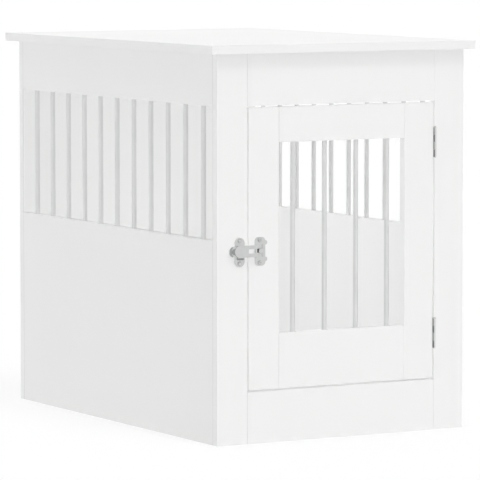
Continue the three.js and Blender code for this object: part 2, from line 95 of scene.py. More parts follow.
def edit(piece, kind):
    """Opens the piece in edit mode with nothing selected; kind is VERT, EDGE or FACE."""
    take(piece)
    bpy.ops.object.mode_set(mode="EDIT")
    bpy.ops.mesh.select_mode(type=kind)
    bpy.ops.mesh.select_all(action="DESELECT")


def pick(piece, kind, test):
    """In edit mode, selects just the elements that the test accepts."""
    bpy.ops.mesh.select_all(action="DESELECT")
    mesh = bmesh.from_edit_mesh(piece.data)
    mesh.normal_update()
    for element in {"VERT": mesh.verts, "EDGE": mesh.edges, "FACE": mesh.faces}[kind]:
        if test(element):
            element.select_set(True)
    mesh.select_flush_mode()
    bmesh.update_edit_mesh(piece.data)


def leave():
    bpy.ops.object.mode_set(mode="OBJECT")


def runs_along(edge, axis):
    run = (edge.verts[1].co - edge.verts[0].co).normalized()
    return abs(run[ALONG[axis]]) > 0.99


def bevel_edges(piece, test, width, segments=2, profile=0.5):
    edit(piece, "EDGE")
    pick(piece, "EDGE", test)
    bpy.ops.mesh.bevel(offset=width, segments=segments, profile=profile, affect="EDGES", clamp_overlap=True)
    leave()
    return piece


def ease(piece, width, segments=2):
    """Takes the sharpness off every edge of a plain block."""
    return bevel_edges(piece, lambda edge: True, width, segments)


def ease_sharp(piece, width, segments=2, angle=40):
    """Takes the sharpness off the sharp edges of a cut shape."""
    take(piece)
    bpy.ops.object.modifier_add(type="BEVEL")
    bevel = piece.modifiers[-1]
    bevel.width = width
    bevel.segments = segments
    bevel.limit_method = "ANGLE"
    bevel.angle_limit = math.radians(angle)
    bevel.use_clamp_overlap = True
    bpy.ops.object.modifier_apply(modifier=bevel.name)
    return piece


def tidy(piece):
    """Merges doubled corners and the flat faces that a union leaves in pieces."""
    edit(piece, "VERT")
    bpy.ops.mesh.select_all(action="SELECT")
    bpy.ops.mesh.remove_doubles(threshold=0.004 * MM)
    bpy.ops.mesh.dissolve_limited(angle_limit=math.radians(0.5))
    leave()
    return piece


def smooth(piece, angle=35):
    take(piece)
    bpy.ops.object.shade_smooth_by_angle(angle=math.radians(angle))
    bpy.ops.object.modifier_add(type="WEIGHTED_NORMAL")
    weighted = piece.modifiers[-1]
    weighted.weight = 100
    weighted.keep_sharp = True
    bpy.ops.object.modifier_apply(modifier=weighted.name)
    return piece


def joined(pieces):
    take(pieces[0])
    for piece in pieces[1:]:
        piece.select_set(True)
    if len(pieces) > 1:
        bpy.ops.object.join()
    return pieces[0]


def combine(piece, others, operation):
    """Cuts the others out of the piece, adds them to it or keeps what they share, and removes them."""
    for other in others:
        take(piece)
        bpy.ops.object.modifier_add(type="BOOLEAN")
        boolean = piece.modifiers[-1]
        boolean.operation = operation
        boolean.solver = "EXACT"
        boolean.material_mode = "TRANSFER"
        boolean.object = other
        bpy.ops.object.modifier_apply(modifier=boolean.name)
        bpy.data.objects.remove(other)
    return piece


def cut(piece, *tools):
    return combine(piece, tools, "DIFFERENCE")


def add(piece, *others):
    return combine(piece, others, "UNION")


def copy_of(piece, name, move=(0, 0, 0)):
    """A copy with its own mesh, moved within that mesh."""
    twin = piece.copy()
    twin.data = piece.data.copy()
    twin.name = twin.data.name = name
    twin.data.transform(Matrix.Translation(Vector(move)))
    bpy.context.scene.collection.objects.link(twin)
    return twin


def paint(piece, *materials):
    piece.data.materials.clear()
    for material in materials:
        piece.data.materials.append(material)
    return piece


def paint_faces(piece, index, test):
    for polygon in piece.data.polygons:
        if test(polygon):
            polygon.material_index = index


def stand_for(piece, node):
    """The piece takes the place of a CAD node and moves with that node's body."""
    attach(piece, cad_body[node])
    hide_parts(node)
    return piece


def fasten(piece, body):
    """A small piece that stands for no node."""
    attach(piece, body)
    return piece


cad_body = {node: body for body, nodes in frame["record"]["behaviour"]["bodies"].items() for node in nodes}


# ---- Materials ------------------------------------------------------------------------------------------------
def start_material(name, roughness, metallic=0.0):
    material = bpy.data.materials.new(name)
    material.use_nodes = True
    nodes, links = material.node_tree.nodes, material.node_tree.links
    shader = nodes["Principled BSDF"]
    shader.inputs["Roughness"].default_value = roughness
    shader.inputs["Metallic"].default_value = metallic
    return material, nodes, links, shader


def grain(nodes, links, scale, stretch=(1, 1, 1), detail=3.0, kind="ShaderNodeTexNoise", roughness=0.55):
    """A noise in object space; stretch gives how much finer it is along each axis."""
    place = nodes.new("ShaderNodeTexCoord")
    mapping = nodes.new("ShaderNodeMapping")
    mapping.inputs["Scale"].default_value = stretch
    noise = nodes.new(kind)
    noise.inputs["Scale"].default_value = scale
    if kind == "ShaderNodeTexNoise":
        noise.inputs["Detail"].default_value = detail
        noise.inputs["Roughness"].default_value = roughness
    links.new(place.outputs["Object"], mapping.inputs["Vector"])
    links.new(mapping.outputs["Vector"], noise.inputs["Vector"])
    return noise


def between(nodes, links, source, low, high, start=0.3, end=0.7):
    """Turns a noise into a number from low to high."""
    remap = nodes.new("ShaderNodeMapRange")
    remap.inputs["From Min"].default_value = start
    remap.inputs["From Max"].default_value = end
    remap.inputs["To Min"].default_value = low
    remap.inputs["To Max"].default_value = high
    links.new(source, remap.inputs["Value"])
    return remap.outputs["Result"]


def tint(nodes, links, source, low, high, start=0.3, end=0.7):
    """Turns a noise into a colour from low to high."""
    ramp = nodes.new("ShaderNodeValToRGB")
    ramp.color_ramp.elements[0].position = start
    ramp.color_ramp.elements[0].color = (*low, 1)
    ramp.color_ramp.elements[1].position = end
    ramp.color_ramp.elements[1].color = (*high, 1)
    links.new(source, ramp.inputs["Fac"])
    return ramp.outputs["Color"]


def raise_bump(nodes, links, shader, source, strength, height):
    bump = nodes.new("ShaderNodeBump")
    bump.inputs["Strength"].default_value = strength
    bump.inputs["Distance"].default_value = height
    links.new(source, bump.inputs["Height"])
    previous = shader.inputs["Normal"].links
    if previous:
        links.new(previous[0].from_socket, bump.inputs["Normal"])
    links.new(bump.outputs["Normal"], shader.inputs["Normal"])


def white_laminate():
    material, nodes, links, shader = start_material("white_laminate", 0.46)
    cloud = grain(nodes, links, 7, detail=2)
    links.new(
        tint(nodes, links, cloud.outputs["Fac"], (0.883, 0.883, 0.881), (0.890, 0.890, 0.888)),
        shader.inputs["Base Color"],
    )
    haze = grain(nodes, links, 45, detail=4)
    links.new(between(nodes, links, haze.outputs["Fac"], 0.44, 0.49), shader.inputs["Roughness"])
    pores = grain(nodes, links, 1100, detail=2)
    raise_bump(nodes, links, shader, pores.outputs["Fac"], 0.10, 0.05 * MM)
    return material


def white_edge_band():
    material, nodes, links, shader = start_material("white_edge_band", 0.36)
    cloud = grain(nodes, links, 12, detail=2)
    links.new(
        tint(nodes, links, cloud.outputs["Fac"], (0.872, 0.873, 0.872), (0.886, 0.887, 0.886)),
        shader.inputs["Base Color"],
    )
    scrape = grain(nodes, links, 160, stretch=(1, 1, 0.12), detail=3)
    links.new(between(nodes, links, scrape.outputs["Fac"], 0.31, 0.42), shader.inputs["Roughness"])
    raise_bump(nodes, links, shader, scrape.outputs["Fac"], 0.12, 0.04 * MM)
    return material


def painted_joint_shade():
    """Painted shade on the hairline where two boards meet."""
    material, nodes, links, shader = start_material("painted_joint_shade", 0.5)
    cloud = grain(nodes, links, 14, detail=2)
    links.new(
        tint(nodes, links, cloud.outputs["Fac"], (0.64, 0.64, 0.635), (0.69, 0.69, 0.685)), shader.inputs["Base Color"]
    )
    return material


def raw_chipboard():
    material, nodes, links, shader = start_material("raw_chipboard", 0.85)
    flakes = grain(nodes, links, 420, kind="ShaderNodeTexVoronoi")
    links.new(
        tint(nodes, links, flakes.outputs["Distance"], (0.42, 0.29, 0.17), (0.66, 0.52, 0.35), 0.1, 0.8),
        shader.inputs["Base Color"],
    )
    raise_bump(nodes, links, shader, flakes.outputs["Distance"], 0.5, 0.2 * MM)
    return material


def drawn_bar_metal():
    material, nodes, links, shader = start_material("drawn_bar_metal", 0.4, 0.75)
    cloud = grain(nodes, links, 30, detail=3)
    links.new(
        tint(nodes, links, cloud.outputs["Fac"], (0.705, 0.710, 0.708), (0.745, 0.748, 0.746)),
        shader.inputs["Base Color"],
    )
    lines = grain(nodes, links, 900, stretch=(1, 1, 0.012), detail=3)
    links.new(between(nodes, links, lines.outputs["Fac"], 0.34, 0.50), shader.inputs["Roughness"])
    raise_bump(nodes, links, shader, lines.outputs["Fac"], 0.16, 0.03 * MM)
    return material


def plated_metal(name, low, high, roughness):
    """Zinc or nickel plate over pressed steel: cloudy, with fine scratches."""
    material, nodes, links, shader = start_material(name, roughness, 1.0)
    cloud = grain(nodes, links, 90, detail=4)
    links.new(tint(nodes, links, cloud.outputs["Fac"], low, high), shader.inputs["Base Color"])
    scratches = grain(nodes, links, 260, stretch=(0.35, 1, 1.9), detail=5, roughness=0.7)
    links.new(
        between(nodes, links, scratches.outputs["Fac"], roughness - 0.06, roughness + 0.1), shader.inputs["Roughness"]
    )
    raise_bump(nodes, links, shader, scratches.outputs["Fac"], 0.18, 0.03 * MM)
    return material


def cap_plastic():
    material, nodes, links, shader = start_material("cap_plastic", 0.38)
    cloud = grain(nodes, links, 60, detail=2)
    links.new(
        tint(nodes, links, cloud.outputs["Fac"], (0.80, 0.80, 0.79), (0.83, 0.83, 0.82)), shader.inputs["Base Color"]
    )
    skin = grain(nodes, links, 900, detail=2)
    raise_bump(nodes, links, shader, skin.outputs["Fac"], 0.2, 0.04 * MM)
    return material


LAMINATE = white_laminate()
EDGE_BAND = white_edge_band()
JOINT_SHADE = painted_joint_shade()
CHIPBOARD = raw_chipboard()
BAR_METAL = drawn_bar_metal()
LATCH_METAL = plated_metal("latch_zinc", (0.610, 0.618, 0.612), (0.655, 0.663, 0.657), 0.34)
HINGE_METAL = plated_metal("hinge_nickel", (0.63, 0.635, 0.635), (0.70, 0.705, 0.705), 0.3)
SCREW_METAL = plated_metal("screw_zinc", (0.64, 0.645, 0.64), (0.70, 0.705, 0.70), 0.24)
# A painted highlight for the middle of a screw's crown.
SCREW_HIGHLIGHT_METAL = plated_metal("painted_screw_highlight", (0.90, 0.90, 0.90), (0.94, 0.94, 0.94), 0.22)
# A lighter painted shade, for screw rings and bores, cross recesses and the tongue's lip.
SOFT_SHADE_METAL = plated_metal("painted_soft_shade_zinc", (0.44, 0.45, 0.445), (0.50, 0.51, 0.505), 0.42)
# Painted shade, for the frame hinge barrels, the channel beside the post plate's pad and the tongue's nose.
SHADE_METAL = plated_metal("painted_shade_zinc", (0.31, 0.315, 0.31), (0.38, 0.385, 0.38), 0.5)
BARREL_SHADE = plated_metal("hinge_barrel_back", (0.15, 0.152, 0.152), (0.20, 0.202, 0.202), 0.4)
DEEP_SHADE_METAL = plated_metal("painted_deep_shade", (0.04, 0.04, 0.04), (0.08, 0.08, 0.08), 0.55)
CAP_PLASTIC = cap_plastic()


# ---- Boards ---------------------------------------------------------------------------------------------------
EDGE_EASE = 0.6 * MM
JOINT_REACH = 0.62 * MM
BOARD_NODES = [node for node in frame["nodes"] if not any(word in node for word in ("bar_", "hinge", "latch"))]
SEAT_RADIUS = 4.55 * MM
SEAT_DEPTH = 12.3 * MM
SEAT_MOUTH = 0.5 * MM


def seat_tool(at, direction):
    """A drill for one bar's seat: straight, with a small cone at the mouth. Direction is 1 for a hole that
    opens upward and -1 for one that opens downward."""
    mouth = Vector(at)
    up = Vector((0, 0, direction))
    tool = start_rod("seat_tool", mouth - up * SEAT_DEPTH, mouth - up * SEAT_MOUTH, SEAT_RADIUS)
    edit(tool, "FACE")
    top = mouth.z - direction * SEAT_MOUTH
    pick(tool, "FACE", lambda face: abs(face.calc_center_median().z - top) < 0.01 * MM)
    bpy.ops.mesh.extrude_region_move(TRANSFORM_OT_translate={"value": up * 2 * SEAT_MOUTH})
    widen = (SEAT_RADIUS + 2 * SEAT_MOUTH) / SEAT_RADIUS
    bpy.ops.transform.resize(value=(widen, widen, 1), center_override=mouth)
    leave()
    return paint(tool, CHIPBOARD)


def is_near(place, box, reach):
    low, high = box
    return all(low[i] - reach < place[i] < high[i] + reach for i in range(3))


def board(node, seats=(), opens=0):
    """A laminated board in the place of a CAD node, with eased and banded edges, and seats for bars."""
    low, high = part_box(node)
    piece = start_block("board_" + node, low, high)
    ease(piece, EDGE_EASE, 3)
    thin = min(range(3), key=lambda i: high[i] - low[i])
    paint(piece, LAMINATE, EDGE_BAND, CHIPBOARD, JOINT_SHADE)
    paint_faces(piece, 1, lambda face: abs(face.normal[thin]) < 0.5)
    neighbours = [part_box(other) for other in BOARD_NODES if other != node]
    # Bevel faces next to another board get the painted joint shade.
    paint_faces(
        piece, 3,
        lambda face: max(abs(part) for part in face.normal) < 0.97
        and any(is_near(face.center, box, JOINT_REACH) for box in neighbours),
    )
    if seats:
        edge_z = high.z if opens == 1 else low.z
        first = seat_tool((*seats[0], edge_z), opens)
        tools = [first]
        for x, y in seats[1:]:
            tools.append(copy_of(first, "seat_tool", (x - seats[0][0], y - seats[0][1], 0)))
        cut(piece, joined(tools))
    smooth(piece, 30)
    return stand_for(piece, node)


def middle_of(node):
    low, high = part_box(node)
    return (low + high) / 2


def bars_of(prefix):
    return sorted(node for node in frame["nodes"] if node.startswith(prefix))


def seats_under(prefix):
    return [tuple(middle_of(node).xy) for node in bars_of(prefix)]


def boards():
    for side in ("left", "right"):
        seats = seats_under("side_bar_" + side)
        board("side_panel_" + side, seats, 1)
        board("side_rail_" + side, seats, -1)
        board("front_post_" + side)
        board("door_stile_" + side)
        board("floor_cleat_" + side)
    door_seats = seats_under("door_bar")
    board("door_rail_top", door_seats, -1)
    board("door_rail_bottom", door_seats, 1)
    for node in ("top_panel", "back_panel", "front_apron", "front_sill", "floor_panel", "floor_support_rail"):
        board(node)


# ---- Bars -----------------------------------------------------------------------------------------------------
BAR_END_BEVEL = 0.7 * MM


def bar_blank(node):
    low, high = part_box(node)
    middle = (low + high) / 2
    radius = (high.x - low.x) / 2
    blank = start_rod("bar_blank", (middle.x, middle.y, low.z), (middle.x, middle.y, high.z), radius, 40)
    bevel_edges(blank, lambda edge: abs(edge.verts[0].co.z - edge.verts[1].co.z) < 0.01 * MM, BAR_END_BEVEL, 3)
    smooth(blank, 35)
    return paint(blank, BAR_METAL)


def bars():
    for prefix in ("side_bar_left", "side_bar_right", "door_bar"):
        nodes = bars_of(prefix)
        blank = bar_blank(nodes[0])
        start = middle_of(nodes[0])
        for node in nodes:
            piece = copy_of(blank, "rod_" + node, middle_of(node) - start)
            stand_for(piece, node)
        bpy.data.objects.remove(blank)


# ---- Hinges ---------------------------------------------------------------------------------------------------
HINGE_LENGTH = 53 * MM
KNUCKLE_RADIUS = 2.75 * MM
KNUCKLE_BORE = 1.5 * MM
KNUCKLE_PLAY = 0.3 * MM
KNUCKLE_COUNT = 4
ROLL_STEPS = 22
ROLL_ANGLE = 345
LEAF_THICKNESS = 1.1 * MM
LEAF_FACE_X = 1.3 * MM  # from the pin's line to the leaf's face on the board
LEAF_CORNER = 2 * MM
LEAF_EASE = 0.18 * MM
LEAF_SCREW_Z = 15 * MM
LEAF_SCREW_RADIUS = 1.8 * MM
LEAF_SCREW_FLUSH_X = 0.25 * MM
LEAF_HEAD_RADIUS = 1.7 * MM
LEAF_HEAD_DEPTH = 0.9 * MM
LEAF_SHANK_LENGTH = 9 * MM
LEAF_SHANK_POINT = 1.6 * MM
FRAME_SHADE_NORMAL = -0.62
DOOR_SHADE_NORMAL = -0.45
PIN_RADIUS = 1.2 * MM


def leaf_screw_y(axis, back_y):
    """The line of a leaf's screws, halfway between its knuckles and its far edge."""
    return axis.y + 0.5 * (KNUCKLE_RADIUS + KNUCKLE_PLAY + back_y - axis.y)


def knuckle(axis, side, low_z, high_z, roll):
    """A rolled knuckle: a strip's section spun about the pin. Side is that of its leaf; roll is in degrees."""
    piece = start_block(
        "knuckle",
        (axis.x + side * KNUCKLE_BORE if side > 0 else axis.x - KNUCKLE_RADIUS, axis.y - 0.01 * MM, low_z),
        (axis.x + side * KNUCKLE_RADIUS if side > 0 else axis.x - KNUCKLE_BORE, axis.y + 0.01 * MM, high_z),
    )
    edit(piece, "FACE")
    pick(piece, "FACE", lambda face: face.normal.y < -0.9)
    bpy.ops.mesh.spin(
        steps=ROLL_STEPS, angle=math.radians(side * roll), center=(axis.x, axis.y, (low_z + high_z) / 2), axis=(0, 0, 1)
    )
    bpy.ops.mesh.select_all(action="SELECT")
    bpy.ops.mesh.remove_doubles(threshold=0.001 * MM)
    bpy.ops.mesh.normals_make_consistent(inside=False)
    leave()
    return piece


def hinge_leaf(node, side, first):
    """One leaf: a plate with rolled knuckles, two countersunk screw holes and eased edges."""
    back_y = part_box(node)[1].y
    pin_low, pin_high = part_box(node[: node.index("_", 6)] + "_pin")
    axis = (pin_low + pin_high) / 2
    x0, x1 = sorted((axis.x + side * (LEAF_FACE_X - LEAF_THICKNESS), axis.x + side * LEAF_FACE_X))
    leaf = start_block(
        "leaf_" + node, (x0, axis.y + KNUCKLE_RADIUS + KNUCKLE_PLAY, axis.z - HINGE_LENGTH / 2),
        (x1, back_y, axis.z + HINGE_LENGTH / 2),
    )
    bevel_edges(leaf, lambda edge: runs_along(edge, "x") and edge.verts[0].co.y > axis.y + 8 * MM, LEAF_CORNER, 5)
    pitch = HINGE_LENGTH / KNUCKLE_COUNT
    for index in range(first, KNUCKLE_COUNT, 2):
        top = axis.z + HINGE_LENGTH / 2 - index * pitch - KNUCKLE_PLAY / 2
        bottom = top - pitch + KNUCKLE_PLAY
        neck = start_block("neck", (x0, axis.y + 0.2 * MM, bottom), (x1, axis.y + 5 * MM, top))
        bore = start_rod("bore", (axis.x, axis.y, bottom - MM), (axis.x, axis.y, top + MM), KNUCKLE_BORE + 0.05 * MM)
        cut(neck, bore)
        add(leaf, neck)
        add(leaf, knuckle(axis, side, bottom, top, ROLL_ANGLE))
    y = leaf_screw_y(axis, back_y)
    inner = axis.x + side * (LEAF_FACE_X - LEAF_THICKNESS)
    outer = axis.x + side * LEAF_FACE_X
    for z in (axis.z - LEAF_SCREW_Z, axis.z + LEAF_SCREW_Z):
        hole = start_rod("hole", (inner - side * MM, y, z), (outer + side * MM, y, z), LEAF_SCREW_RADIUS)
        cut(leaf, hole)
    ease_sharp(leaf, LEAF_EASE, 2)
    # Painted shade: the barrel's faces that point left are painted darker, whichever way the light falls.
    shade, limit = (SHADE_METAL, FRAME_SHADE_NORMAL) if side > 0 else (BARREL_SHADE, DOOR_SHADE_NORMAL)
    paint(leaf, HINGE_METAL, shade)
    paint_faces(leaf, 1, lambda face: face.normal.x < limit and face.center.y < axis.y + KNUCKLE_RADIUS)
    smooth(leaf, 35)
    return stand_for(leaf, node)


def hinge_pin(node):
    low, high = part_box(node)
    middle = (low + high) / 2
    radius = (high.x - low.x) / 2
    pin = start_rod("pin_" + node, (middle.x, middle.y, low.z + MM), (middle.x, middle.y, high.z - MM), PIN_RADIUS)
    for sign, z in ((1, high.z - MM), (-1, low.z + MM)):
        edit(pin, "FACE")
        pick(pin, "FACE", lambda face: face.normal.z * sign > 0.9)
        bpy.ops.mesh.inset(thickness=0)
        centre = (middle.x, middle.y, z)
        widen = radius / PIN_RADIUS
        bpy.ops.transform.resize(value=(widen, widen, 1), center_override=centre)
        bpy.ops.mesh.extrude_region_move(TRANSFORM_OT_translate={"value": (0, 0, sign * MM)})
        bpy.ops.mesh.bevel(offset=0.5 * MM, segments=3, affect="EDGES", clamp_overlap=True)
        leave()
    paint(pin, SCREW_METAL)
    smooth(pin, 35)
    return stand_for(pin, node)


def leaf_screw(node, side, z, y, axis_x):
    """A countersunk screw in a leaf's hole, turned into the board behind it."""
    flush = axis_x + side * LEAF_SCREW_FLUSH_X
    screw = start_rod("screw_" + node, (flush, y, z), (flush + side * LEAF_HEAD_DEPTH, y, z), LEAF_HEAD_RADIUS, 28)
    edit(screw, "FACE")
    pick(screw, "FACE", lambda face: face.normal.x * side > 0.9)
    bpy.ops.transform.resize(value=(1, 0.55, 0.55), center_override=(flush, y, z))
    bpy.ops.mesh.extrude_region_move(TRANSFORM_OT_translate={"value": (side * LEAF_SHANK_LENGTH, 0, 0)})
    bpy.ops.mesh.extrude_region_move(TRANSFORM_OT_translate={"value": (side * LEAF_SHANK_POINT, 0, 0)})
    bpy.ops.transform.resize(value=(1, 0.15, 0.15), center_override=(flush, y, z))
    leave()
    for long_y in (True, False):
        reach = Vector((0.35, 1.1 if long_y else 0.25, 0.25 if long_y else 1.1)) * MM
        middle = Vector((flush, y, z))
        cut(screw, paint(start_block("slot", middle - reach, middle + reach), SHADE_METAL))
    bevel_edges(screw, lambda edge: on_plane(edge, "x", flush) and edge.calc_face_angle(0) > 1, 0.08 * MM, 2)
    paint(screw, SCREW_METAL)
    return fasten(smooth(screw), "cabinet" if side > 0 else "door")


def hinges():
    for word in ("upper", "lower"):
        hinge_leaf(f"hinge_{word}_frame_leaf", 1, 0)
        hinge_leaf(f"hinge_{word}_door_leaf", -1, 1)
        hinge_pin(f"hinge_{word}_pin")
        axis = middle_of(f"hinge_{word}_pin")
        back_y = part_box(f"hinge_{word}_door_leaf")[1].y
        y = leaf_screw_y(axis, back_y)
        for side, leaf in ((1, "frame"), (-1, "door")):
            for place, z in (("top", axis.z + LEAF_SCREW_Z), ("foot", axis.z - LEAF_SCREW_Z)):
                leaf_screw(f"hinge_{word}_{leaf}_{place}", side, z, y, axis.x)


# ---- Connector caps -------------------------------------------------------------------------------------------
CAP_RADIUS = 7.5 * MM
CAP_RISE = 1.1 * MM
CAP_ROUNDING = 0.7 * MM
CAP_RING_WIDTH = 3.6 * MM
CAP_DIMPLE = 0.35 * MM
CAP_Y = (-345, 331)
CAP_Z = (126, 322, 630)


def connector_caps():
    """White caps like those over hidden fittings, on the inner faces of the side boards. Their number and their
    places are guessed, and the fittings themselves aren't made."""
    for sign, side in ((-1, "left"), (1, "right")):
        low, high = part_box("side_panel_" + side)
        face_x = high.x if sign < 0 else low.x
        for index, (y, z) in enumerate((y, z) for y in CAP_Y for z in CAP_Z):
            place = Vector((face_x, y * MM, z * MM))
            out = Vector((-sign, 0, 0))
            cap = start_rod(f"cap_{side}_{index + 1}", place + out * 0.02 * MM, place + out * CAP_RISE, CAP_RADIUS, 40)
            top_x = (place + out * CAP_RISE).x
            bevel_edges(cap, lambda edge: on_plane(edge, "x", top_x), CAP_ROUNDING, 4)
            edit(cap, "FACE")
            pick(cap, "FACE", lambda face: on_face(face, "x", top_x))
            bpy.ops.mesh.inset(thickness=CAP_RING_WIDTH)
            bpy.ops.mesh.extrude_region_move(TRANSFORM_OT_translate={"value": -out * CAP_DIMPLE})
            leave()
            paint(cap, CAP_PLASTIC)
            fasten(smooth(cap), "cabinet")


# ---- Latch ----------------------------------------------------------------------------------------------------
PLATE_RIM = 0.6 * MM
PLATE_FACE_Y = -385.2 * MM
PLATE_BACK_Y = -382.7 * MM
SCREW_HOLE_RADIUS = 1.9 * MM
SCREW_RING_RADIUS = 4.0 * MM
SCREW_RING_DEPTH = 0.45 * MM
LATCH_SCREW_Z = 19.5 * MM
PAD_RISE = 0.3 * MM
TONGUE_BACK_Y = -387.7 * MM
TONGUE_FRONT_Y = -389.7 * MM
TONGUE_HALF = 10.1 * MM
TONGUE_RISE_Z = 0.9 * MM
TONGUE_TIP_X = -218.9 * MM
TONGUE_NOSE_X = -230.6 * MM
TONGUE_BEND = 3 * MM
TONGUE_NOSE_RADIUS = 8.6 * MM
TONGUE_TAPER = 9 * MM
FORK_HALF = 3.7 * MM
FORK_END_X = -192 * MM
CHEEK_THICKNESS = 1.2 * MM
EYE_RADIUS = 2.2 * MM
PIN_BORE = 1.15 * MM
BOSS_RADIUS = 4.4 * MM
BOSS_RISE = 1.3 * MM
RECESS_RADIUS = 5.7 * MM
EAR_RADIUS = 3.9 * MM
EAR_Z = (320.2, 349.0)
FORK_POCKETS_Z = ((323.6, 331.6), (338.2, 346.2))
BORE_LOW_Z = 300 * MM
BORE_HIGH_Z = 370 * MM
CHEEK_START_X = -213.6 * MM
CHEEK_END_X = -200.5 * MM
PIN_HEAD_RISE = 0.7 * MM
PIN_HEAD_RADIUS = 1.8 * MM
PAN_HEAD_RISE = 1.8 * MM
PAN_HEAD_RADIUS = 3.3 * MM
PAN_SHANK_RADIUS = 1.5 * MM
UPPER_CROSS_TURN = 20
LOWER_CROSS_TURN = 55


def on_plane(edge, axis, place, slack=0.02 * MM):
    return all(abs(vert.co[ALONG[axis]] - place) < slack for vert in edge.verts)


def on_face(face, axis, place, slack=0.02 * MM):
    return all(abs(vert.co[ALONG[axis]] - place) < slack for vert in face.verts)


def pull_apart(piece, axis, middle, pull):
    """Moves the half of the piece on each side of the middle away from it by pull."""
    for sign in (1, -1):
        edit(piece, "VERT")
        pick(piece, "VERT", lambda vert: sign * (vert.co[ALONG[axis]] - middle) > 0.05 * MM)
        move = [0, 0, 0]
        move[ALONG[axis]] = sign * pull
        bpy.ops.transform.translate(value=move)
        leave()
    return piece


def round_block(name, low, high, axis, radius, segments=8):
    """A block whose edges along one axis are rounded."""
    return bevel_edges(start_block(name, low, high), lambda edge: runs_along(edge, axis), radius, segments)


def rim(piece, face_y, width=PLATE_RIM, segments=3):
    """Rounds the outline of a plate's front face."""
    return bevel_edges(piece, lambda edge: on_plane(edge, "y", face_y), width, segments)


def screw_sinks(x, middle_z):
    """Bores and shallow rings round them for the two screws of a latch plate; their walls are painted with a lighter
    painted shade.
    """
    tools = []
    for z in (middle_z - LATCH_SCREW_Z, middle_z + LATCH_SCREW_Z):
        bore = start_rod("bore", (x, PLATE_FACE_Y - MM, z), (x, PLATE_BACK_Y + MM, z), SCREW_HOLE_RADIUS, 24)
        ring = start_rod(
            "ring", (x, PLATE_FACE_Y - MM, z), (x, PLATE_FACE_Y + SCREW_RING_DEPTH, z), SCREW_RING_RADIUS, 40
        )
        tools += [paint(bore, SOFT_SHADE_METAL), paint(ring, SOFT_SHADE_METAL)]
    return tools


def post_plate():
    low = Vector((-216.7 * MM, PLATE_FACE_Y, 308 * MM))
    high = Vector((-197.5 * MM, PLATE_BACK_Y, 358.6 * MM))
    screw = middle_of("latch_post_plate")
    middle = (low + high) / 2
    radius = (high.x - low.x) / 2
    plate = start_rod("plate_post", (middle.x, low.y, middle.z), (middle.x, high.y, middle.z), radius, 64)
    pull_apart(plate, "z", middle.z, (high.z - low.z) / 2 - radius)
    rim(plate, low.y)
    paint(plate, LATCH_METAL)
    pad_low = Vector((-211.4 * MM, low.y - PAD_RISE, screw.z - 10.6 * MM))
    pad_high = Vector((high.x - 1.4 * MM, low.y + 1.6 * MM, screw.z + 12.5 * MM))
    # The channel below and left of the pad is painted in shade metal, a painted shadow of the pad and tongue.
    channel = round_block(
        "channel", pad_low + Vector((-2.2 * MM, -MM, -3.4 * MM)),
        Vector((pad_high.x - 0.6 * MM, low.y + 0.9 * MM, screw.z + 8 * MM)), "y", 1.6 * MM,
    )
    cut(plate, paint(channel, SHADE_METAL))
    pad = round_block("pad", pad_low, pad_high, "y", 1.6 * MM)
    add(plate, paint(rim(pad, pad_low.y, 0.25 * MM, 2), LATCH_METAL))
    cut(plate, *screw_sinks(screw.x, screw.z))
    smooth(plate)
    return stand_for(plate, "latch_post_plate")


def catch_block():
    """The catch under the tongue: a rounded block with a shallow groove along it."""
    low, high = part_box("latch_catch_block")
    middle = (low + high) / 2
    block = round_block("catch_block", low, high, "y", 1.8 * MM, 6)
    rim(block, low.y, 0.45 * MM)
    groove_y = low.y - 0.9 * MM
    groove = start_rod(
        "groove", (low.x - MM, groove_y, middle.z), (high.x + MM, groove_y, middle.z), 1.6 * MM, 32
    )
    cut(block, groove)
    paint(block, LATCH_METAL)
    smooth(block)
    return stand_for(block, "latch_catch_block")


def door_plate():
    """The plate on the door: two small ears, a riveted boss with a recess beside it that is painted dark as painted
    shade, pockets for the tongue's fork and the fixed eye between them."""
    pin = middle_of("latch_pin")
    screw = middle_of("latch_door_plate")
    low = Vector((-176.7 * MM, PLATE_FACE_Y, 308.8 * MM))
    high = Vector((-156.7 * MM, PLATE_BACK_Y, 358.5 * MM))
    plate = round_block("plate_door", low, high, "y", 6.8 * MM, 10)
    for z in (ear_z * MM for ear_z in EAR_Z):
        add(plate, start_rod("ear", (high.x, low.y, z), (high.x, high.y, z), EAR_RADIUS, 40))
    tidy(plate)
    rim(plate, low.y, 0.5 * MM)
    paint(plate, LATCH_METAL)
    boss_x = pin.x + 8.5 * MM
    tools = []
    for z0, z1 in FORK_POCKETS_Z:
        pocket = start_block(
            "pocket", (low.x - MM, low.y - MM, z0 * MM), (pin.x + 13.35 * MM, low.y + 1.6 * MM, z1 * MM)
        )
        tools.append(paint(pocket, LATCH_METAL))
    recess = start_rod(
        "recess", (boss_x - 1.1 * MM, low.y - MM, screw.z + 0.5 * MM),
        (boss_x - 1.1 * MM, low.y + 1.3 * MM, screw.z + 0.5 * MM), RECESS_RADIUS, 48,
    )
    # The recess beside the boss is painted with a deep painted shade.
    tools.append(paint(recess, DEEP_SHADE_METAL))
    cut(plate, *tools, *screw_sinks(middle_of("latch_screw_door_upper").x - 0.5 * MM, screw.z))
    boss_z = screw.z + 0.5 * MM
    boss_top = low.y - BOSS_RISE
    boss_middle_x = boss_x + 1.4 * MM
    boss = start_rod(
        "boss", (boss_middle_x, boss_top, boss_z), (boss_middle_x, high.y, boss_z), BOSS_RADIUS, 48
    )
    rim(boss, boss_top, 1.0 * MM, 5)
    add(plate, paint(boss, LATCH_METAL))
    eye = start_rod("eye", (pin.x, pin.y, pin.z - 2.3 * MM), (pin.x, pin.y, pin.z + 4.1 * MM), EYE_RADIUS, 40)
    add(plate, paint(eye, LATCH_METAL))
    cut(plate, start_rod("bore", (pin.x, pin.y, BORE_LOW_Z), (pin.x, pin.y, BORE_HIGH_Z), PIN_BORE, 24))
    smooth(plate)
    return stand_for(plate, "latch_door_plate")


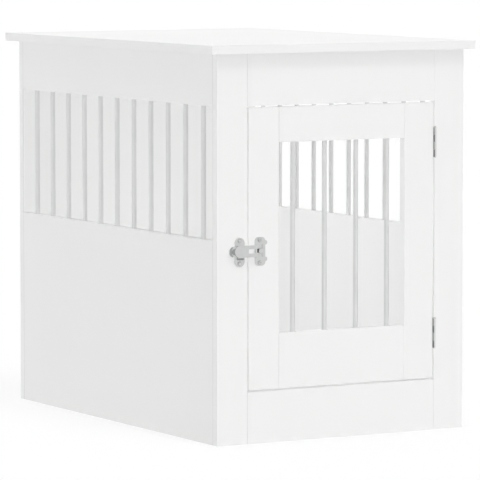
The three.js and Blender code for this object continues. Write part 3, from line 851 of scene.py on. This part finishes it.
def dished_nose(centre, middle_y, thickness):
    """The tongue's nose: a section that is bent inward and then outward, spun half round the nose's centre."""
    deselect_everything()
    flat = centre.x - TONGUE_TIP_X
    bpy.ops.mesh.primitive_plane_add(
        size=thickness, location=(centre.x, middle_y, centre.z + thickness / 2), rotation=(0, math.pi / 2, 0)
    )
    nose = settle("nose")
    edit(nose, "VERT")
    pick(nose, "VERT", lambda vert: vert.co.z > centre.z + thickness / 2)
    bpy.ops.transform.translate(value=(0, 0, flat - thickness))
    leave()
    edge_place = Vector((centre.x, middle_y, centre.z + flat))
    edit(nose, "EDGE")
    pick(nose, "EDGE", lambda edge: on_plane(edge, "z", edge_place.z) and runs_along(edge, "y"))
    dip, lip = math.radians(34), math.radians(26)
    bpy.ops.mesh.spin(steps=6, angle=dip, center=edge_place + Vector((0, TONGUE_BEND, 0)), axis=(1, 0, 0))
    run = Vector((0, math.sin(dip), math.cos(dip)))
    bpy.ops.mesh.extrude_region_move(TRANSFORM_OT_translate={"value": run * 1.6 * MM})
    bent = edge_place + Vector((0, (1 - math.cos(dip)), math.sin(dip))) * TONGUE_BEND + run * 1.6 * MM
    turned = Vector((0, -math.cos(dip), math.sin(dip)))
    bpy.ops.mesh.spin(steps=8, angle=-(dip + lip), center=bent + turned * TONGUE_BEND, axis=(1, 0, 0))
    bpy.ops.mesh.extrude_region_move(
        TRANSFORM_OT_translate={"value": Vector((0, -math.sin(lip), math.cos(lip))) * 5 * MM}
    )
    bpy.ops.mesh.select_all(action="SELECT")
    bpy.ops.mesh.remove_doubles(threshold=0.001 * MM)
    bpy.ops.mesh.spin(steps=40, angle=math.pi, center=centre, axis=(0, 1, 0))
    bpy.ops.mesh.select_all(action="SELECT")
    bpy.ops.mesh.remove_doubles(threshold=0.002 * MM)
    bpy.ops.mesh.normals_make_consistent(inside=False)
    leave()
    return nose


def tongue():
    """The hinged tongue: a strap with a dished nose, a forked root, two rolled eyes and short cheeks."""
    pin = middle_of("latch_pin")
    thickness = TONGUE_BACK_Y - TONGUE_FRONT_Y
    middle_y = (TONGUE_BACK_Y + TONGUE_FRONT_Y) / 2
    middle_z = pin.z + TONGUE_RISE_Z
    low_z, high_z = middle_z - TONGUE_HALF, middle_z + TONGUE_HALF
    centre = Vector((TONGUE_TIP_X + TONGUE_HALF + 0.1 * MM, middle_y, middle_z))
    strap = start_block(
        "tongue_strap", (centre.x - 0.01 * MM, TONGUE_FRONT_Y, low_z), (pin.x - 1.5 * MM, TONGUE_BACK_Y, high_z)
    )
    add(strap, dished_nose(centre, middle_y, thickness))
    near_y, far_y = TONGUE_FRONT_Y - 9 * MM, TONGUE_BACK_Y + 9 * MM
    nose_x = TONGUE_NOSE_X + TONGUE_NOSE_RADIUS
    outline = start_rod("outline", (nose_x, near_y, middle_z), (nose_x, far_y, middle_z), TONGUE_NOSE_RADIUS, 72)
    edit(outline, "VERT")
    pick(outline, "VERT", lambda vert: vert.co.x > nose_x + 0.05 * MM)
    bpy.ops.transform.translate(value=(TONGUE_TAPER, 0, 0))
    bpy.ops.transform.resize(value=(1, 1, TONGUE_HALF / TONGUE_NOSE_RADIUS), center_override=(nose_x, near_y, middle_z))
    leave()
    add(outline, start_block("root", (nose_x + TONGUE_TAPER, near_y - MM, low_z), (pin.x + 5 * MM, far_y + MM, high_z)))
    combine(strap, [outline], "INTERSECT")
    fork = round_block(
        "fork", (FORK_END_X, TONGUE_FRONT_Y - MM, middle_z - FORK_HALF),
        (pin.x + 4 * MM, TONGUE_BACK_Y + MM, middle_z + FORK_HALF), "y", 1.6 * MM, 6,
    )
    cut(strap, fork)
    for sign in (1, -1):
        inner, outer = middle_z + sign * FORK_HALF, middle_z + sign * TONGUE_HALF
        eye = start_rod("eye", (pin.x, pin.y, inner), (pin.x, pin.y, outer), EYE_RADIUS, 40)
        arm = start_block(
            "arm", (pin.x - 3 * MM, TONGUE_FRONT_Y + 1.1 * MM, min(inner, outer)),
            (pin.x - 0.4 * MM, pin.y, max(inner, outer)),
        )
        add(strap, arm, eye)
        wall_z = sorted((outer, outer - sign * CHEEK_THICKNESS))
        cheek = start_block(
            "cheek", (CHEEK_START_X, TONGUE_FRONT_Y + MM, wall_z[0]), (CHEEK_END_X, TONGUE_BACK_Y + 1.7 * MM, wall_z[1])
        )
        add(strap, cheek)
    cut(strap, start_rod("bore", (pin.x, pin.y, BORE_LOW_Z), (pin.x, pin.y, BORE_HIGH_Z), PIN_BORE, 24))
    paint(strap, LATCH_METAL, SOFT_SHADE_METAL, SHADE_METAL)
    flat = centre.x - TONGUE_TIP_X

    def reach(face):
        return (Vector((face.center.x, 0, face.center.z)) - Vector((centre.x, 0, centre.z))).length - flat

    # Painted shade on the nose: a dark crescent next to the flat, and a lighter painted shade on the lip beyond it.
    nose = [face for face in strap.data.polygons if face.center.x < centre.x]
    for face in nose:
        side = min(1, abs(face.center.z - middle_z) / (6.5 * MM))
        if 0.4 * MM < reach(face) < (5.6 - 4.6 * side * side) * MM:
            face.material_index = 2
        elif reach(face) >= 5.6 * MM:
            face.material_index = 1
    smooth(strap)
    return stand_for(strap, "latch_tongue")


def latch_pin():
    """The tongue's pin, with a domed head at each end."""
    pin = middle_of("latch_pin")
    reach = TONGUE_HALF + 0.2 * MM
    middle_z = pin.z + TONGUE_RISE_Z
    rod = start_rod("pin_latch", (pin.x, pin.y, middle_z - reach), (pin.x, pin.y, middle_z + reach), MM, 24)
    for sign in (1, -1):
        end = middle_z + sign * reach
        top = end + sign * PIN_HEAD_RISE
        head = start_rod(
            "head", (pin.x, pin.y, end - sign * 0.01 * MM), (pin.x, pin.y, top), PIN_HEAD_RADIUS, 32
        )
        bevel_edges(head, lambda edge: on_plane(edge, "z", top), 0.5 * MM, 4)
        add(rod, head)
    paint(rod, SCREW_METAL)
    smooth(rod)
    return stand_for(rod, "latch_pin")


def on_face_of(piece, face, y, radius, x, z):
    """True for a face on the plane at y that lies within radius of the point x, z."""
    corners = [piece.data.vertices[index].co for index in face.vertices]
    return all(abs(c.y - y) < 0.02 * MM and math.hypot(c.x - x, c.z - z) < radius for c in corners)


def pan_screw(name, x, face_y, z, turn, crown):
    """A pan-head screw: a turned head with a domed top and a cross recess, and a pointed shank."""
    top_y = face_y - PAN_HEAD_RISE
    head = start_rod(name, (x, face_y, z), (x, top_y, z), PAN_HEAD_RADIUS, 40)
    bevel_edges(head, lambda edge: on_plane(edge, "y", top_y), 1.3 * MM, 6)
    bevel_edges(head, lambda edge: on_plane(edge, "y", face_y), 0.15 * MM, 2)
    shank = start_rod("shank", (x, face_y - 0.5 * MM, z), (x, face_y + 11 * MM, z), PAN_SHANK_RADIUS, 24)
    edit(shank, "FACE")
    pick(shank, "FACE", lambda face: face.normal.y > 0.9)
    bpy.ops.mesh.extrude_region_move(TRANSFORM_OT_translate={"value": (0, 1.8 * MM, 0)})
    bpy.ops.transform.resize(value=(0.15, 1, 0.15), center_override=(x, face_y + 12.8 * MM, z))
    leave()
    add(head, shank)
    edit(head, "FACE")
    pick(head, "FACE", lambda face: on_face(face, "y", top_y))
    bpy.ops.mesh.inset(thickness=0.85 * MM)
    leave()
    paint(head, SCREW_METAL, crown)
    # The middle of the crown is painted with the crown look, which is a painted highlight on the post plate's screws.
    paint_faces(head, 1, lambda face: on_face_of(head, face, top_y, 1.3 * MM, x, z))
    for angle in (turn, turn + 90):
        slot = start_block("slot", (-1.5 * MM, -0.8 * MM, -0.22 * MM), (1.5 * MM, 0.8 * MM, 0.22 * MM))
        edit(slot, "FACE")
        pick(slot, "FACE", lambda face: face.normal.y > 0.9)
        bpy.ops.transform.resize(value=(0.45, 1, 0.6), center_override=(0, 0.8 * MM, 0))
        leave()
        # The cross recess is painted with a lighter painted shade.
        paint(slot, SOFT_SHADE_METAL)
        slot.data.transform(
            Matrix.Translation((x, top_y + 0.45 * MM, z)) @ Matrix.Rotation(math.radians(angle), 4, "Y")
        )
        cut(head, slot)
    return smooth(head)


def latch_screws():
    for node in sorted(name for name in frame["nodes"] if name.startswith("latch_screw")):
        low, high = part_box(node)
        middle = (low + high) / 2
        turn = UPPER_CROSS_TURN if "upper" in node else LOWER_CROSS_TURN
        x = middle.x - (0.5 * MM if "door" in node else 0)
        # The post plate's screws get a painted highlight on the crown; the door plate's screws don't.
        crown = SCREW_METAL if "door" in node else SCREW_HIGHLIGHT_METAL
        piece = pan_screw("screw_" + node[12:], x, low.y + PAN_HEAD_RISE, middle.z, turn, crown)
        stand_for(piece, node)


def latch():
    post_plate()
    catch_block()
    door_plate()
    tongue()
    latch_pin()
    latch_screws()


# ---- Studio ---------------------------------------------------------------------------------------------------
CAMERA_AZIMUTH = math.radians(-29.845)
CAMERA_TILT = math.radians(4.964)
CAMERA_PLACE = Vector((-3489.5, -6106.3, 928.0)) * MM
SENSOR_WIDTH = 36
CAMERA_LENS = 289.06
FRONT_FILL = 2.65
REAR_FILL = 2.42
FILL_TILT = math.radians(12)
SOFT_SKY = 0.12
KEY_TURN = (math.radians(25), 0, math.radians(12))
KEY_STRENGTH = 0.71
KEY_ANGLE = math.radians(11)
CABIN_POWER = 0.2
CABIN_PANEL_X = 0.215
CABIN_PANEL_Z = 0.33
CABIN_PANEL_SIZE = (0.62, 0.48)
CABIN_SPREAD = math.radians(118)
CABIN_LEFT_SHARE = 0.6
CAMERA_REACH = 200
FLOOR_SIZE = 60
FLOOR_Z = -0.0005
FLOOR_GREY = 0.8
FLOOR_GLOW = 1.08
FLOOR_GLOW_SHARE = 0.75


def camera():
    data = bpy.data.cameras.new("product_camera")
    data.sensor_width = SENSOR_WIDTH
    data.lens = CAMERA_LENS
    data.clip_end = CAMERA_REACH
    lens = bpy.data.objects.new("product_camera", data)
    bpy.context.scene.collection.objects.link(lens)
    lens.location = CAMERA_PLACE
    lens.rotation_euler = Euler((math.pi / 2 - CAMERA_TILT, 0, CAMERA_AZIMUTH), "XYZ")
    bpy.context.scene.camera = lens


def lamp(name, kind, strength):
    data = bpy.data.lights.new(name, kind)
    data.energy = strength
    light = bpy.data.objects.new(name, data)
    bpy.context.scene.collection.objects.link(light)
    return light


def shadowless(light):
    """Makes a lamp cast no shadow and show in no reflection."""
    light.data.use_shadow = False
    light.data.cycles.use_multiple_importance_sampling = False
    light.visible_glossy = False


def soft_fill(name, strength, turn):
    fill = lamp(name, "SUN", strength)
    fill.data.angle = math.pi
    fill.rotation_euler = turn
    shadowless(fill)


def lights():
    """Soft fill from the front and the rear and two panels inside the cabin, all without shadow, and a weak sky and
    a soft key from above the front, which do cast one. No light bounces from board to board."""
    world = bpy.data.worlds.new("white_studio")
    bpy.context.scene.world = world
    world.use_nodes = True
    world.cycles.sampling_method = "NONE"
    nodes, links = world.node_tree.nodes, world.node_tree.links
    sky = nodes["Background"]
    sky.inputs["Color"].default_value = (1, 1, 1, 1)
    path = nodes.new("ShaderNodeLightPath")
    remap = nodes.new("ShaderNodeMapRange")
    remap.inputs["To Min"].default_value = 1.0
    remap.inputs["To Max"].default_value = SOFT_SKY
    links.new(path.outputs["Is Diffuse Ray"], remap.inputs["Value"])
    links.new(remap.outputs["Result"], sky.inputs["Strength"])

    bpy.context.scene.cycles.diffuse_bounces = 0
    level = math.pi / 2 + FILL_TILT
    soft_fill("fill_front", FRONT_FILL, (level, 0, 0))
    soft_fill("fill_rear", REAR_FILL, (-level, 0, 0))
    for name, x, turn, power in (
        ("cabin_right", -CABIN_PANEL_X, -math.pi / 2, CABIN_POWER),
        ("cabin_left", CABIN_PANEL_X, math.pi / 2, CABIN_LEFT_SHARE * CABIN_POWER),
    ):
        panel = lamp(name, "AREA", power)
        panel.data.spread = CABIN_SPREAD
        panel.data.shape = "RECTANGLE"
        panel.data.size, panel.data.size_y = CABIN_PANEL_SIZE
        panel.location = (x, 0, CABIN_PANEL_Z)
        panel.rotation_euler = (math.pi / 2, 0, turn)
        shadowless(panel)
        panel.visible_camera = False
        panel.visible_transmission = False
    key = lamp("key_softbox", "SUN", KEY_STRENGTH)
    key.data.angle = KEY_ANGLE
    key.visible_glossy = False
    key.rotation_euler = KEY_TURN


def floor():
    """A pale floor that shows white to the camera but keeps a light shadow under the table."""
    deselect_everything()
    bpy.ops.mesh.primitive_plane_add(size=FLOOR_SIZE, location=(0, 0, FLOOR_Z))
    plane = settle("studio_floor")
    material = bpy.data.materials.new("studio_floor")
    material.use_nodes = True
    nodes, links = material.node_tree.nodes, material.node_tree.links
    nodes.clear()
    out = nodes.new("ShaderNodeOutputMaterial")
    paper = nodes.new("ShaderNodeBsdfDiffuse")
    paper.inputs["Color"].default_value = (FLOOR_GREY, FLOOR_GREY, FLOOR_GREY, 1)
    white = nodes.new("ShaderNodeEmission")
    white.inputs["Color"].default_value = (1, 1, 1, 1)
    white.inputs["Strength"].default_value = FLOOR_GLOW
    path = nodes.new("ShaderNodeLightPath")
    seen = nodes.new("ShaderNodeMath")
    seen.operation = "MAXIMUM"
    links.new(path.outputs["Is Camera Ray"], seen.inputs[0])
    links.new(path.outputs["Is Transmission Ray"], seen.inputs[1])
    mirrored = nodes.new("ShaderNodeMath")
    mirrored.operation = "MAXIMUM"
    links.new(path.outputs["Is Glossy Ray"], mirrored.inputs[0])
    links.new(seen.outputs[0], mirrored.inputs[1])
    share = nodes.new("ShaderNodeMath")
    share.operation = "MULTIPLY"
    share.inputs[1].default_value = FLOOR_GLOW_SHARE
    links.new(mirrored.outputs[0], share.inputs[0])
    mix = nodes.new("ShaderNodeMixShader")
    links.new(share.outputs[0], mix.inputs["Fac"])
    links.new(paper.outputs[0], mix.inputs[1])
    links.new(white.outputs[0], mix.inputs[2])
    links.new(mix.outputs[0], out.inputs["Surface"])
    paint(plane, material)


# ---- The whole table ------------------------------------------------------------------------------------------
camera()
floor()
boards()
bars()
hinges()
connector_caps()
latch()
lights()

bpy.context.scene.view_settings.view_transform = "Standard"
